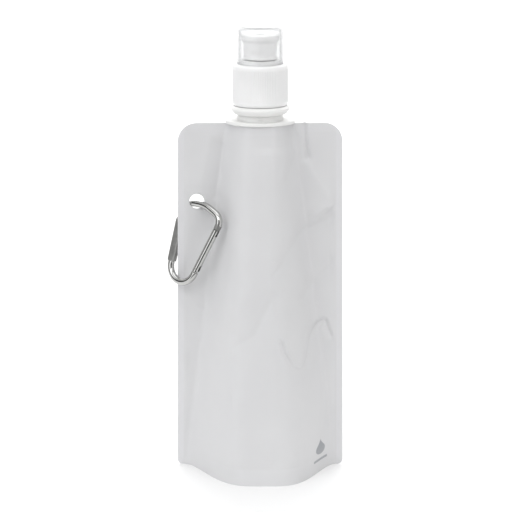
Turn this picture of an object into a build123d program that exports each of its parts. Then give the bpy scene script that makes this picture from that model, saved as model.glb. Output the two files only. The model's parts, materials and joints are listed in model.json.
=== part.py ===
from build123d import *
from math import cos, pi, radians, sin
import os

# A folding water bottle: a stand-up pouch of frosted film round a moulded spout, with a
# screw cap, a push-pull mouthpiece, a clear dust cap, and a small carabiner in the side weld.
# Millimetres. The origin is on the ground at the middle of the pouch's base, +Z is up,
# the spout's axis is the Z axis, and the front panel faces -Y.

# pouch film
film = 0.25                 # thickness of one laminated panel
weld_gap = 0.08             # room left between a panel and what is welded inside it
pouch_height = 193.6        # ground to the top edge of the film
base_half_width = 46.4      # middle to the side edge, at the ground
top_narrowing = 2.1         # the side edge stands this much further in at the top
side_weld = 3.4             # width of the side weld at the ground
base_depth = 35.8           # middle of the pouch to the front panel, at the ground
bulge_power = 1.8           # above 1 it gives the belly a broad front and tight flanks
curve_steps = 14            # spline points on each half of a panel's curve
top_corner = 10.0
bottom_corner = 3.0
gusset_low = 6.0            # gusset sheet over the ground, in the middle
gusset_high = 26.0          # the same, at its two ends
gusset_inset = 8.4          # from the side edge to the gusset's end
gusset_end_weld = 2.0       # length of the solid weld at each end of the gusset
eyelet_rim = 2.2            # room between the carabiner's wire and the eyelet's edge
eyelet_inset = 10.371       # from the side edge to the eyelet's middle
eyelet_drop = 43.0          # from the top edge to the eyelet's middle

# spout moulding, whose radii follow the neck's
neck_radius = 12.3
neck_wall = 1.8
neck_height = 27.0          # over the flange
boat_height = 11.5          # the part welded between the panels
boat_wall = 0.3             # the film stands this far outside the neck's radius
flange_gap = 0.1            # between the film's top edge and the flange
flange_height = 1.8
flange_side = 6.4           # flange's half length over the neck's radius
flange_front = 3.2          # its half depth over the neck's radius
flange_end = 5.0            # length of the flats at the flange's two ends
boat_inset = 1.3            # the boat's end stands this far in from the flange's
ring_rise = 3.5             # flange to the support ring
ring_height = 4.3
ring_rim_low = 2.3          # the ring's upright rim starts this far up it
ring_rim_high = 3.1         # and ends this far up
ring_reach = 3.7            # ring's rim outside the neck's radius
ring_foot_reach = 1.9       # where the ring's lower bevel starts
ring_crown_reach = 2.4      # where its upper bevel ends
thread_pitch = 4.2
thread_depth = 1.3
thread_turns = 1.5
thread_drop = 12.5          # neck's rim to the middle of its thread's lower end
thread_base = 2.2           # width of a thread at its root
thread_tip = 1.0            # width of a thread at its crest
thread_root = 0.2           # how deep a thread's root is sunk in its wall

# screw cap
cap_gap = 0.2               # between the cap's foot and the neck's ring
cap_thread_room = 0.3       # between the neck's thread and the skirt's bore
cap_wall = 1.1
cap_deck = 1.5
cap_top_round = 1.4
cap_foot_chamfer = 1.4
cap_thread_lift = 0.55      # crest of the cap's thread outside the neck's radius
cap_thread_turns = 1.4
cap_thread_drop = 1.6       # the cap's thread runs this far under the neck's
plinth_height = 2.1
plinth_gap = 0.2            # between the plinth and the dust cap
liner_room = 1.5            # between the neck's rim and the deck
liner_gap = 0.05            # between the liner and the neck's rim
liner_inset = 1.0           # between the liner and the skirt's bore
liner_lap = 2.0             # the liner reaches this far inside the neck's bore

# push-pull mouthpiece on the cap's tower
tower_radius = 7.3
tower_wall = 1.7
bead = 0.35                 # snap ring on the tower that keeps the mouthpiece on
bead_height = 1.2
tower_lead = 0.4            # tower above the bead
plug_radius = 2.5
plug_rise = 5.5             # the plug's spokes stand this far over the deck's top
plug_chamfer = 0.4
spoke_width = 1.4
spoke_height = 2.0
spoke_count = 3
mouth_wall = 1.85
mouth_rise = 0.5            # between the plinth and the mouthpiece's foot
mouth_height = 13.1
mouth_travel = 5.0
mouth_roof = 2.6
mouth_catch = 1.1           # height of the inner lip that meets the bead
lip_reach = 1.25            # the drinking lip outside the sleeve
lip_height = 2.9
lip_taper = 1.3
lip_round = 0.6
slide_gap = 0.08            # radial running clearance of the mouthpiece
plug_gap = 0.06             # radial clearance of the plug in the mouthpiece's hole
plug_recess = 0.6           # the plug's end stands this far under the mouthpiece's top
stop_gap = 0.2              # axial clearance where the mouthpiece meets a stop

# clear dust cap over the mouthpiece
dust_wall = 0.95
dust_room = 1.1             # between the mouthpiece's lip and the dust cap's wall
dust_draft = 0.2            # the dust cap is this much narrower at its top
dust_headroom = 2.35        # over the mouthpiece
dust_gap = 0.15             # between the dust cap's foot and the screw cap
dust_round = 0.9

# carabiner, drawn flat: x runs from the spine to the gate, y up the spine
wire = 1.9                  # radius of the bent rod
crown_side = 4.57           # from the eyelet's middle out to the spine's inner side
crown_back = 5.63           # the drawing's origin behind the eyelet
crown_rise = 0.83           # and over its middle
ring_yaw = 38.45            # turn from the film's plane
ring_lean = 5.93            # how far the spine leans out to the side
ring_tilt = 12.36           # how far the ring hangs towards the front
shoulder = (27.6, -5.2)     # sharp corner between the crown and the nose
shoulder_bend = 5.5
crown_peak = (15.3, -0.75)  # top of the arched crown
peak_bend = 18.0
crown_corner = -1.9         # sharp corner between the crown and the spine
crown_bend = 9.0
nose_bend = 2.0
nose_run = 1.5              # straight wire between the nose's bend and its end
foot_radius = 8.8
foot_height = -36.2         # centre of the round foot
gate_lean = 18.0            # angle between gate and spine
tang_run = 3.8              # from the end of the round foot to the gate's pin
gate_length = 24.6          # pin to the gate's nose end
flat_top = -10.8            # upper end of the pressed stretch of the spine
flat_widening = 1.3         # the pressed stretch is this much wider than the rod
flat_thinning = 1.0         # and this much thinner
flat_round = 1.1
blade = 1.3                 # thickness of the two tongues in the gate's slots
blade_gap = 0.12            # each side of a tongue
tang_radius = 1.2           # round end of the tang about the pin
pin_radius = 0.6
pin_gap = 0.05
fork_room = 0.4             # between the gate's forked end and the wire's shoulder
fork_depth = 2.6            # pin to the floor of the gate's forked slot
gate_gap = 0.35             # between the gate's nose end and the wire
tongue_width = 2.4
tongue_reach = 2.6          # how far the nose's tongue stands into the gate
tongue_room = 0.7           # between the tongue's end and the floor of its slot
plunger_radius = 0.95
plunger_gap = 0.08          # radial clearance in the spring's pocket
plunger_length = 4.0
plunger_touch = 0.05        # between the plunger and the tang at rest
plunger_travel = 0.6
pocket_end = 17.0           # pin to the bottom of the spring's pocket
spring_wire = 0.16          # radius
spring_coil = 0.72          # radius
spring_pitch = 0.9

flange_low = pouch_height + flange_gap
flange_high = flange_low + flange_height
flange_half_length = neck_radius + flange_side
flange_half_depth = neck_radius + flange_front
boat_low = pouch_height - boat_height
boat_half_length = flange_half_length - boat_inset
neck_bore = neck_radius - neck_wall
neck_top = flange_high + neck_height
ring_low = flange_high + ring_rise
ring_high = ring_low + ring_height
thread_crest = neck_radius + thread_depth
thread_low = neck_top - thread_drop

top_half_width = base_half_width - top_narrowing
base_reach = base_half_width - side_weld
top_reach = flange_half_length + boat_wall
top_depth = neck_radius + boat_wall
gusset_half_length = base_half_width - gusset_inset
eyelet_radius = wire + eyelet_rim
eyelet_z = pouch_height - eyelet_drop
eyelet_x = eyelet_inset - base_half_width + top_narrowing * eyelet_z / pouch_height

cap_low = ring_high + cap_gap
cap_bore = thread_crest + cap_thread_room
cap_radius = cap_bore + cap_wall
deck_low = neck_top + liner_room
cap_high = deck_low + cap_deck
plinth_high = cap_high + plinth_height

mouth_radius = tower_radius + mouth_wall
mouth_low = plinth_high + mouth_rise
mouth_high = mouth_low + mouth_height
mouth_bore = tower_radius + bead + slide_gap
lip_radius = mouth_radius + lip_reach
tower_bore = tower_radius - tower_wall
bead_low = mouth_low + mouth_catch + mouth_travel + stop_gap
bead_high = bead_low + bead_height
tower_high = bead_high + tower_lead
plug_low = cap_high + plug_rise
plug_high = mouth_high - plug_recess

dust_low = cap_high + dust_gap
dust_high = mouth_high + dust_headroom + dust_wall
dust_low_radius = lip_radius + dust_room + dust_wall
dust_top_radius = dust_low_radius - dust_draft
plinth_radius = dust_low_radius - dust_wall - plinth_gap

gate_way = Vector(sin(radians(gate_lean)), cos(radians(gate_lean)), 0)
foot_middle = Vector(foot_radius, foot_height, 0)
foot_end = foot_middle + Vector(gate_way.Y, -gate_way.X, 0) * foot_radius
gate_pin = foot_end + gate_way * tang_run


def at_height(base_value, top_value, z):
    """A pouch dimension that runs straight from the ground to the top edge."""
    return base_value + (top_value - base_value) * z / pouch_height


def belly(share):
    """Depth share of the bulged pouch at a share of the way out to the side weld."""
    return 0.5 * (1 + cos(pi * min(share, 1.0) ** bulge_power))


def belly_curve(half_length, reach, depth, lift, z, side):
    """Spline across the pouch from left to right; side -1 is the front, 1 is the rear."""
    points = []
    for index in range(-curve_steps, curve_steps + 1):
        x = half_length * index / curve_steps
        points.append((x, side * (lift + depth * belly(abs(x) / reach)), z))
    return Spline(*points)


def panel_section(z, side):
    """Cross-section of one panel: two flat side welds and the bulge between them."""
    half_width = at_height(base_half_width, top_half_width, z)
    reach = at_height(base_reach, top_reach, z)
    depth = at_height(base_depth, top_depth, z)
    skin = side * film
    inner = belly_curve(reach - film, reach - film, depth, 0, z, side)
    outer = belly_curve(reach, reach, depth, film, z, side)
    right = Polyline(inner @ 1, (half_width, 0, z), (half_width, skin, z), outer @ 1)
    left = Polyline(outer @ 0, (-half_width, skin, z), (-half_width, 0, z), inner @ 0)
    return Wire([inner, *right.edges(), outer, *left.edges()])


def pouch_outline():
    """Front view of the pouch with its round corners and its eyelet, as a thick slab."""
    outline = Polyline(
        (-base_half_width, 0),
        (base_half_width, 0),
        (top_half_width, pouch_height),
        (-top_half_width, pouch_height),
        close=True,
    )
    face = make_face(outline.edges())
    face = fillet(face.vertices().group_by(Axis.Y)[-1], top_corner)
    face = fillet(face.vertices().group_by(Axis.Y)[0], bottom_corner)
    face -= Pos(eyelet_x, eyelet_z) * Circle(eyelet_radius)
    return extrude(Plane.XZ * face, base_depth * 2, both=True)


def film_panel(side):
    """One side of the pouch, from the ground to the top weld."""
    sections = [panel_section(0, side), panel_section(pouch_height, side)]
    return Part() + Solid.make_loft(sections, ruled=True) & pouch_outline()


def behind_panel(side, inset):
    """Everything on the inner side of one panel, kept clear of it."""
    sections = []
    for z in (0, pouch_height):
        reach = at_height(base_reach, top_reach, z) - film - inset
        depth = at_height(base_depth, top_depth, z) - inset
        curve = belly_curve(reach, reach, depth, 0, z, side)
        far = -side * base_depth
        wide = base_half_width
        back = Polyline(
            curve @ 1, (wide, 0, z), (wide, far, z), (-wide, far, z), (-wide, 0, z), curve @ 0
        )
        sections.append(Wire([curve, *back.edges()]))
    return Part() + Solid.make_loft(sections, ruled=True)


def cavity(low, high, half_length, inset):
    """Solid between the two panels, kept clear of them, with two flat ends."""
    block = Pos(0, 0, low) * Box(
        2 * half_length, 4 * base_depth, high - low, align=(Align.CENTER, Align.CENTER, Align.MIN)
    )
    return block & behind_panel(-1, inset) & behind_panel(1, inset)


def under_arch(height, half_length):
    """Solid under the gusset's arch, which climbs from its middle to its two ends."""
    rise = gusset_high - gusset_low
    arch = ThreePointArc((-half_length, height + rise), (0, height), (half_length, height + rise))
    walls = Polyline(arch @ 0, (-half_length, 0), (half_length, 0), arch @ 1)
    return extrude(Plane.XZ * make_face(arch.edges() + walls.edges()), base_depth * 2, both=True)


def bottom_gusset():
    """Folded film between the panels' feet: an arched sheet and the band welded to them."""
    high = gusset_high + 2 * film
    inner_length = gusset_half_length - gusset_end_weld
    outside = cavity(0, high, gusset_half_length, weld_gap) & under_arch(
        gusset_low + film, gusset_half_length
    )
    hollow = cavity(0, high, inner_length, weld_gap + film) & under_arch(
        gusset_low, gusset_half_length
    )
    return outside - hollow


def turned(points):
    """Solid turned round the Z axis from an outline of radii and heights."""
    return revolve(Plane.XZ * make_face(Polyline(*points, close=True).edges()), Axis.Z)


def helical_ridge(root, crest, low, turns):
    """Screw thread: a tapered ridge from its root radius to its crest radius."""
    path = Helix(thread_pitch, thread_pitch * turns, root, center=(0, 0, low))
    ridge = Polyline(
        (root, low - thread_base / 2),
        (crest, low - thread_tip / 2),
        (crest, low + thread_tip / 2),
        (root, low + thread_base / 2),
        close=True,
    )
    return sweep(Plane.XZ * make_face(ridge.edges()), path=path, is_frenet=True)


def spout_fitment():
    """Weld boat, flange, support ring and threaded neck, moulded in one piece."""
    body = cavity(boat_low, pouch_height, boat_half_length, weld_gap)
    body += extrude(body.faces().sort_by(Axis.Z)[-1], flange_gap)
    half_end = flange_end / 2
    sides = []
    for side in (-1, 1):
        start = (-flange_half_length, side * half_end)
        end = (flange_half_length, side * half_end)
        sides.append(ThreePointArc(start, (0, side * flange_half_depth), end))
    ends = [Line(sides[0] @ 0, sides[1] @ 0), Line(sides[0] @ 1, sides[1] @ 1)]
    plate = make_face(Wire(sides + ends).edges())
    body += Pos(0, 0, flange_low) * extrude(plate, flange_height)
    body += Pos(0, 0, flange_low) * Cylinder(
        neck_radius, neck_top - flange_low, align=(Align.CENTER, Align.CENTER, Align.MIN)
    )
    body += turned([
        (neck_bore + thread_root, ring_low),
        (neck_radius + ring_foot_reach, ring_low),
        (neck_radius + ring_reach, ring_low + ring_rim_low),
        (neck_radius + ring_reach, ring_low + ring_rim_high),
        (neck_radius + ring_crown_reach, ring_high),
        (neck_bore + thread_root, ring_high),
    ])
    body += helical_ridge(neck_radius - thread_root, thread_crest, thread_low, thread_turns)
    return body - Pos(0, 0, boat_low - 1) * Cylinder(
        neck_bore, neck_top - boat_low + 2, align=(Align.CENTER, Align.CENTER, Align.MIN)
    )


def cap_liner():
    """Soft sealing ring between the neck's rim and the cap's deck."""
    low = neck_top + liner_gap
    high = deck_low - 2 * liner_gap
    inner = neck_bore - liner_lap
    outer = cap_bore - liner_inset
    return turned([(inner, low), (outer, low), (outer, high), (inner, high)])


def screw_cap():
    """Cap with its thread, the plinth for the dust cap, the tower and the plug on spokes."""
    body = turned([
        (cap_bore, cap_low),
        (cap_radius - cap_foot_chamfer / 2, cap_low),
        (cap_radius, cap_low + cap_foot_chamfer),
        (cap_radius, cap_high),
        (plinth_radius, cap_high),
        (plinth_radius, plinth_high),
        (tower_radius, plinth_high),
        (tower_radius, bead_low),
        (tower_radius + bead, bead_low + bead),
        (tower_radius + bead, bead_high - bead),
        (tower_radius, bead_high),
        (tower_radius, tower_high),
        (tower_bore, tower_high),
        (tower_bore, deck_low),
        (cap_bore, deck_low),
    ])
    rim = body.edges().filter_by(GeomType.CIRCLE).filter_by(
        lambda edge: abs(edge.radius - cap_radius) < 0.01 and edge.center().Z > deck_low
    )
    body = fillet(rim, cap_top_round)
    low = thread_low - cap_thread_drop
    crest = neck_radius + cap_thread_lift
    body += helical_ridge(cap_bore + thread_root, crest, low, cap_thread_turns)
    plug = Pos(0, 0, plug_low) * Cylinder(
        plug_radius, plug_high - plug_low, align=(Align.CENTER, Align.CENTER, Align.MIN)
    )
    body += chamfer(plug.edges().sort_by(Axis.Z)[-1], plug_chamfer)
    for index in range(spoke_count):
        spoke = Pos(0, 0, plug_low) * Box(
            (tower_bore + tower_radius) / 2,
            spoke_width,
            spoke_height,
            align=(Align.MIN, Align.CENTER, Align.MIN),
        )
        body += Rot(0, 0, 360 / spoke_count * index) * spoke
    return body


def mouthpiece():
    """Push-pull mouthpiece: a sleeve on the tower with a drinking lip and a round hole."""
    taper_low = mouth_high - lip_height - lip_taper
    body = turned([
        (tower_radius + slide_gap, mouth_low),
        (mouth_radius, mouth_low),
        (mouth_radius, taper_low),
        (lip_radius, mouth_high - lip_height),
        (lip_radius, mouth_high),
        (plug_radius + plug_gap, mouth_high),
        (plug_radius + plug_gap, mouth_high - mouth_roof),
        (mouth_bore, mouth_high - mouth_roof),
        (mouth_bore, mouth_low + mouth_catch),
        (tower_radius + slide_gap, mouth_low + mouth_catch),
    ])
    rim = body.edges().filter_by(GeomType.CIRCLE).filter_by(
        lambda edge: abs(edge.radius - lip_radius) < 0.01
    )
    return fillet(rim, lip_round)


def dust_cap():
    """Clear cover that snaps over the plinth."""
    body = turned([
        (0, dust_high - dust_wall),
        (dust_top_radius - dust_wall, dust_high - dust_wall),
        (dust_low_radius - dust_wall, dust_low),
        (dust_low_radius, dust_low),
        (dust_top_radius, dust_high),
        (0, dust_high),
    ])
    rim = body.edges().filter_by(GeomType.CIRCLE).filter_by(
        lambda edge: edge.center().Z > dust_high - 0.01
    )
    return fillet(rim, dust_round)


def ring_plane():
    """Where the flat-drawn carabiner hangs: through the eyelet, turned and tilted forward."""
    yaw = radians(ring_yaw)
    lean = radians(ring_lean)
    tilt = radians(ring_tilt)
    across = Vector(cos(yaw), -sin(yaw), 0)
    forward = Vector(-sin(yaw), -cos(yaw), 0)
    down = forward * sin(tilt) + Vector(0, 0, -cos(tilt))
    x_way = across * cos(lean) + down * sin(lean)
    spine_way = down * cos(lean) - across * sin(lean)
    crown = Vector(eyelet_x - crown_side - wire, crown_back, eyelet_z + crown_rise)
    return Plane(origin=crown, x_dir=x_way, z_dir=spine_way.cross(x_way))


def gate_frame():
    """Frame of the gate in the flat drawing: X along the gate from the pin, Z out of the ring."""
    return Plane(origin=gate_pin, x_dir=gate_way, z_dir=(0, 0, 1))


def bent_rod(path):
    """Round rod along a path of lines and arcs."""
    return sweep(Plane(origin=path @ 0, z_dir=path % 0) * Circle(wire), path=path)


def carabiner_body():
    """Bent rod from the nose, over the crown, down the pressed spine and round the foot."""
    nose_end = gate_pin + gate_way * (gate_length + gate_gap)
    crown = FilletPolyline(
        nose_end,
        nose_end + gate_way * nose_run,
        shoulder,
        crown_peak,
        (0, crown_corner),
        (0, flat_top),
        radius=[nose_bend, shoulder_bend, peak_bend, crown_bend],
    )
    foot = Wire([
        CenterArc(foot_middle, foot_radius, 180, 180 - gate_lean),
        Line(foot_end, gate_pin - gate_way * (wire + fork_room)),
    ])
    press = Plane(origin=(0, foot_height, 0), x_dir=(1, 0, 0), z_dir=(0, 1, 0))
    spine = extrude(
        press * RectangleRounded(2 * wire + flat_widening, 2 * wire - flat_thinning, flat_round),
        flat_top - foot_height,
    )
    middle = (Align.MIN, Align.CENTER, Align.CENTER)
    tang_root = wire + fork_room + 1
    tang = Pos(-tang_root, 0, 0) * Box(tang_root, 2 * tang_radius, blade, align=middle)
    tang += Cylinder(tang_radius, blade)
    tang -= Cylinder(pin_radius + pin_gap, 2 * blade)
    tongue = Pos(gate_length - tongue_reach, 0, 0) * Box(
        tongue_reach + gate_gap + 1, tongue_width, blade, align=middle
    )
    body = bent_rod(crown) + spine + bent_rod(foot)
    body += gate_frame().location * tang
    body += gate_frame().location * tongue
    return ring_plane().location * body


def carabiner_gate():
    """Round gate, forked at the pin and slotted at the nose, with the spring's pocket."""
    middle = (Align.MIN, Align.CENTER, Align.CENTER)
    along = Plane(origin=(-wire, 0, 0), z_dir=(1, 0, 0))
    rod = extrude(along * Circle(wire), gate_length + wire)
    outline = Pos(gate_length / 2, 0) * Rectangle(gate_length, 2 * wire) + Circle(wire)
    rod &= extrude(outline, 2 * wire, both=True)
    slot = blade + 2 * blade_gap
    rod -= Pos(-2 * wire, 0, 0) * Box(fork_depth + 2 * wire, 4 * wire, slot, align=middle)
    slot_depth = tongue_reach + tongue_room
    rod -= Pos(gate_length - slot_depth, 0, 0) * Box(
        slot_depth + 1, 4 * wire, slot, align=middle
    )
    pocket = Plane(origin=(0, 0, 0), z_dir=(1, 0, 0)) * Circle(plunger_radius + plunger_gap)
    rod -= extrude(pocket, pocket_end)
    rod -= Cylinder(pin_radius, 4 * wire)
    return ring_plane().location * (gate_frame().location * rod)


def gate_hinge_pin():
    """Rivet through the fork and the tang."""
    rod = Cylinder(pin_radius, 2 * wire)
    return ring_plane().location * (gate_frame().location * rod)


def gate_plunger():
    """Small pin that the spring pushes against the tang's round end."""
    start = Plane(origin=(tang_radius + plunger_touch, 0, 0), z_dir=(1, 0, 0))
    rod = extrude(start * Circle(plunger_radius), plunger_length)
    return ring_plane().location * (gate_frame().location * rod)


def gate_spring():
    """Coil spring in the gate's pocket."""
    start = tang_radius + plunger_touch + plunger_length + plunger_travel + 2 * spring_wire
    height = pocket_end - start - 2 * spring_wire
    path = Helix(spring_pitch, height, spring_coil)
    coil = sweep(Plane(origin=path @ 0, z_dir=path % 0) * Circle(spring_wire), path=path)
    along = Plane(origin=(start, 0, 0), z_dir=(1, 0, 0))
    return ring_plane().location * (gate_frame().location * (along.location * coil))


def main():
    os.makedirs("parts", exist_ok=True)
    pieces = {
        "front_panel": film_panel(-1),
        "rear_panel": film_panel(1),
        "bottom_gusset": bottom_gusset(),
        "spout_fitment": spout_fitment(),
        "cap_liner": cap_liner(),
        "screw_cap": screw_cap(),
        "mouthpiece": mouthpiece(),
        "dust_cap": dust_cap(),
        "carabiner_body": carabiner_body(),
        "carabiner_gate": carabiner_gate(),
        "gate_hinge_pin": gate_hinge_pin(),
        "gate_plunger": gate_plunger(),
        "gate_spring": gate_spring(),
    }
    for name, piece in pieces.items():
        export_step(piece, f"parts/{name}.step")


main()
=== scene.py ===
# %% [markdown]
# # A folding water bottle
# The bottle is a pouch of frosted film that stands on its own foot. A moulded spout is welded
# into its top, a ribbed cap screws on, a push-pull mouthpiece sits on the cap under a clear
# dust cover, and a small snap hook hangs through a hole in the side weld.
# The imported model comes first: it fixes every size and every place.

# %% Load the frame
import json
import math

import bmesh
import bpy
import numpy as np
from mathutils import Matrix, Vector

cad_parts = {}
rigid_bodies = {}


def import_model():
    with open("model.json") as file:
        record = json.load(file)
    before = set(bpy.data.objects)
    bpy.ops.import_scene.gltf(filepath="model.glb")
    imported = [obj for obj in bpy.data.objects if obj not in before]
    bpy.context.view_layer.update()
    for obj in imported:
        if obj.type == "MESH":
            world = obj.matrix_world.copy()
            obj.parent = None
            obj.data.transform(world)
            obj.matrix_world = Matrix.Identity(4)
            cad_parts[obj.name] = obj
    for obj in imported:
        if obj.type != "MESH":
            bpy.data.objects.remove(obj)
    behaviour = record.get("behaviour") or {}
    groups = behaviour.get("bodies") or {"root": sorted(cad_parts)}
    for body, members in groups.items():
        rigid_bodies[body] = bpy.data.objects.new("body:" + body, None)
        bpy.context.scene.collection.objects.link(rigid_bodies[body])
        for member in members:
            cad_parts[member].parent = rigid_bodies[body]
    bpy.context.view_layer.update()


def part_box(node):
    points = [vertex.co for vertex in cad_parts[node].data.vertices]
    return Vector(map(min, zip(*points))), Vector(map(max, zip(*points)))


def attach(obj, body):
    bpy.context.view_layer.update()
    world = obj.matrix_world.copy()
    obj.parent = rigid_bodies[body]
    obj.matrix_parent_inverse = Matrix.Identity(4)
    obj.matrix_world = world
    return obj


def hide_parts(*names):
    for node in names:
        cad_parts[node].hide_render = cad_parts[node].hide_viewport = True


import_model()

# %% [markdown]
# All lengths below are typed in millimetres and turned into metres by one factor, because a
# bottle is easier to think of in millimetres. The overall sizes are read from the frame.

# %% Sizes of the pouch
MM = 0.001
FILM = 0.25 * MM
panel_low, panel_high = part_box("front_panel")
POUCH_HEIGHT = panel_high[2]
BASE_HALF = panel_high[0]
TOP_HALF = BASE_HALF - 2.1 * MM
BASE_DEPTH = -panel_low[1] - FILM
TOP_DEPTH = 12.6 * MM
BASE_REACH = 43.0 * MM
TOP_REACH = 19.0 * MM
BULGE_POWER = 1.8
BASE_SHIFT = 2.6 * MM
TOP_CORNER = 10.0 * MM
BOTTOM_CORNER = 3.0 * MM
EYELET = Vector((-34.4, 0.0, 150.6)) * MM
EYELET_RADIUS = 4.1 * MM
BOAT_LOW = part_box("spout_fitment")[0][2]
FOOT_WELD = 9.0 * MM
SIDE_WELD = 3.4 * MM
TOP_WELD = 5.0 * MM
print("pouch height", round(POUCH_HEIGHT / MM, 1), "half width", round(BASE_HALF / MM, 1))

# %% [markdown]
# Every finished piece goes through the same last steps: its mesh is stored in an object at the
# origin, it is shaded smooth except at real corners, it takes a material, and it is told which
# body of the frame it moves with. One helper does this, so that no piece misses a step.

# %% Finish a piece
def finish_piece(name, bm, material, body, stands_for=(), corner=40):
    mesh = bpy.data.meshes.new(name)
    bm.to_mesh(mesh)
    bm.free()
    mesh.shade_smooth()
    mesh.set_sharp_from_angle(angle=math.radians(corner))
    piece = bpy.data.objects.new(name, mesh)
    bpy.context.collection.objects.link(piece)
    mesh.materials.append(material)
    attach(piece, body)
    if stands_for:
        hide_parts(*stands_for)
    print(name, len(mesh.polygons), "faces")
    return piece


# %% [markdown]
# Materials are node trees. A short helper adds a node and names its inputs, which keeps each
# material readable, and a second one starts a Principled surface with its plain numbers set
# on the shader itself.

# %% Node helpers
def add_node(tree, kind, **values):
    node = tree.nodes.new(kind)
    for name, value in values.items():
        if hasattr(node, name):
            setattr(node, name, value)
        else:
            node.inputs[name.replace("_", " ")].default_value = value
    return node


def link(tree, source, output, target, socket):
    tree.links.new(source.outputs[output], target.inputs[socket])


def principled(name, **values):
    material = bpy.data.materials.new(name)
    material.use_nodes = True
    tree = material.node_tree
    shader = tree.nodes["Principled BSDF"]
    for key, value in values.items():
        shader.inputs[key.replace("_", " ")].default_value = value
    return material, tree, shader


# %% [markdown]
# Two effects come back in several finishes. Moulded plastic and film are never perfectly even:
# their colour and gloss drift a little over the surface. And every surface has a fine relief
# that breaks up its reflections. Each effect is a node group with named inputs, placed in a
# material with that material's own scale and strength.

# %% Shared node groups
def build_drift_group():
    group = bpy.data.node_groups.new("surface_drift", "ShaderNodeTree")
    side = group.interface
    for socket, value in (("Scale", 40.0), ("Low", 0.9), ("High", 1.0)):
        side.new_socket(socket, in_out="INPUT", socket_type="NodeSocketFloat").default_value = value
    side.new_socket("Value", in_out="OUTPUT", socket_type="NodeSocketFloat")
    start = add_node(group, "NodeGroupInput")
    place = add_node(group, "ShaderNodeTexCoord")
    noise = add_node(group, "ShaderNodeTexNoise", Detail=3.0, Roughness=0.55)
    spread = add_node(group, "ShaderNodeMapRange")
    spread.inputs["From Min"].default_value = 0.3
    spread.inputs["From Max"].default_value = 0.7
    end = add_node(group, "NodeGroupOutput")
    link(group, place, "Object", noise, "Vector")
    link(group, start, "Scale", noise, "Scale")
    link(group, noise, "Fac", spread, "Value")
    link(group, start, "Low", spread, "To Min")
    link(group, start, "High", spread, "To Max")
    link(group, spread, "Result", end, "Value")
    return group


def build_relief_group():
    group = bpy.data.node_groups.new("fine_relief", "ShaderNodeTree")
    side = group.interface
    for socket, value in (("Coarse Scale", 120.0), ("Fine Scale", 900.0), ("Fine Share", 0.3)):
        side.new_socket(socket, in_out="INPUT", socket_type="NodeSocketFloat").default_value = value
    side.new_socket("Height", in_out="OUTPUT", socket_type="NodeSocketFloat")
    start = add_node(group, "NodeGroupInput")
    place = add_node(group, "ShaderNodeTexCoord")
    coarse = add_node(group, "ShaderNodeTexNoise", Detail=2.0)
    fine = add_node(group, "ShaderNodeTexNoise", Detail=2.0)
    blend = add_node(group, "ShaderNodeMix", data_type="FLOAT")
    end = add_node(group, "NodeGroupOutput")
    for noise, scale in ((coarse, "Coarse Scale"), (fine, "Fine Scale")):
        link(group, place, "Object", noise, "Vector")
        link(group, start, scale, noise, "Scale")
    link(group, start, "Fine Share", blend, "Factor")
    link(group, coarse, "Fac", blend, "A")
    link(group, fine, "Fac", blend, "B")
    link(group, blend, "Result", end, "Height")
    return group


DRIFT = build_drift_group()
RELIEF = build_relief_group()
print("groups", DRIFT.name, "and", RELIEF.name)


# %% [markdown]
# A group only gives a value, a colour mask or a height. The three helpers below place a group in
# a material and lead it to the shader: as relief through a bump node, as a drift between two
# colours, or as a drift of roughness. Image textures would need a layout for every piece, while
# these follow the object's own coordinates and need none.

# %% Put the groups in a material
def use_group(tree, group, **values):
    node = add_node(tree, "ShaderNodeGroup", node_tree=group)
    for key, value in values.items():
        node.inputs[key.replace("_", " ")].default_value = value
    return node


def add_relief(tree, shader, depth, coarse, fine, share):
    relief = use_group(tree, RELIEF, Coarse_Scale=coarse, Fine_Scale=fine, Fine_Share=share)
    bump = add_node(tree, "ShaderNodeBump", Strength=1.0, Distance=depth)
    link(tree, relief, "Height", bump, "Height")
    link(tree, bump, "Normal", shader, "Normal")


def add_colour_drift(tree, shader, dark, light, scale):
    drift = use_group(tree, DRIFT, Scale=scale, Low=0.0, High=1.0)
    mix = add_node(tree, "ShaderNodeMix", data_type="RGBA")
    mix.inputs[6].default_value = (*dark, 1)
    mix.inputs[7].default_value = (*light, 1)
    link(tree, drift, "Value", mix, "Factor")
    tree.links.new(mix.outputs[2], shader.inputs["Base Color"])
    return mix


def add_rough_drift(tree, shader, low, high, scale):
    drift = use_group(tree, DRIFT, Scale=scale, Low=low, High=high)
    link(tree, drift, "Value", shader, "Roughness")


# %% [markdown]
# The film is a frosted laminate: milky, a little see-through, with a soft sheen and a fine
# pebble from the rollers. Its welded bands are pressed flat and look a little lighter.

# %% Film
def make_film():
    material, tree, shader = principled("frosted_film", Alpha=0.88, Specular_IOR_Level=0.4)
    drift = add_colour_drift(tree, shader, (0.72, 0.72, 0.73), (0.75, 0.75, 0.758), 26.0)
    band = add_node(tree, "ShaderNodeAttribute", attribute_name="weld")
    pressed = add_node(tree, "ShaderNodeMix", data_type="RGBA")
    pressed.inputs[7].default_value = (0.77, 0.77, 0.785, 1)
    link(tree, band, "Fac", pressed, "Factor")
    tree.links.new(drift.outputs[2], pressed.inputs[6])
    tree.links.new(pressed.outputs[2], shader.inputs["Base Color"])
    add_rough_drift(tree, shader, 0.36, 0.46, 60.0)
    add_relief(tree, shader, 0.12 * MM, 70.0, 1500.0, 0.12)
    return material


# %% [markdown]
# The cap, the mouthpiece and the spout are moulded polyethylene and polypropylene. The cap is
# the whiter of them. Both are satin, with a fine moulding texture that only shows in the gloss.

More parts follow.
